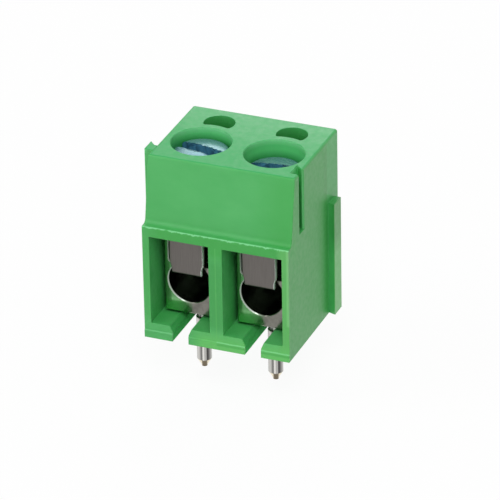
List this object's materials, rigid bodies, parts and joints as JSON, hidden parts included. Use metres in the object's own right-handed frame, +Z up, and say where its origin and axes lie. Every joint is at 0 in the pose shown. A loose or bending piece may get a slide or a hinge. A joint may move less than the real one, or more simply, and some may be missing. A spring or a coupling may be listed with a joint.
{
  "type": "pcb screw terminal",
  "caption": "Green moulded screw terminal for a circuit board, with wire windows in front, clamp screws in wells on top and solder pins below.",
  "frame": {"origin": "midway between the two solder pins, on the housing face that sits on the board", "axes": "+X along the row of poles to the right as seen from the wire side, +Y from the wire side to the back, +Z up from the board"},
  "size_m": [0.0112, 0.009, 0.0164],
  "materials": {
    "green_polyamide": "moulded, slightly glossy",
    "nickel_brass": "bright nickel plate over brass",
    "brushed_leaf": "brushed",
    "zinc_screw": "blue-clear zinc plate",
    "tinned_pin": "tin plate over brass, drawn"
  },
  "bodies": {
    "base": {"housing": "green_polyamide", "terminal_block_left": "nickel_brass", "terminal_block_right": "nickel_brass", "solder_pin_left": "tinned_pin", "solder_pin_right": "tinned_pin"},
    "leaf_left": {"wire_guard_left": "brushed_leaf"},
    "leaf_right": {"wire_guard_right": "brushed_leaf"},
    "screw_left": {"clamp_screw_left": "zinc_screw"},
    "screw_right": {"clamp_screw_right": "zinc_screw"}
  },
  "joints": [
    {"name": "clamp_travel_left", "type": "slide", "parent": "base", "child": "leaf_left", "axis": [0, 0, -1], "range_m": [0, 0.0017]},
    {"name": "clamp_travel_right", "type": "slide", "parent": "base", "child": "leaf_right", "axis": [0, 0, -1], "range_m": [0, 0.0017]},
    {"name": "screw_turn_left", "type": "hinge", "parent": "leaf_left", "child": "screw_left", "pos_m": [-0.00254, 0.0003, 0.0127], "axis": [0, 0, -1], "range_deg": [0, 1224]},
    {"name": "screw_turn_right", "type": "hinge", "parent": "leaf_right", "child": "screw_right", "pos_m": [0.00254, 0.0003, 0.0127], "axis": [0, 0, -1], "range_deg": [0, 1224]}
  ],
  "couplings": [
    {"joint": "screw_turn_left", "follows": "clamp_travel_left", "rad_per_m": 12566},
    {"joint": "screw_turn_right", "follows": "clamp_travel_right", "rad_per_m": 12566}
  ]
}
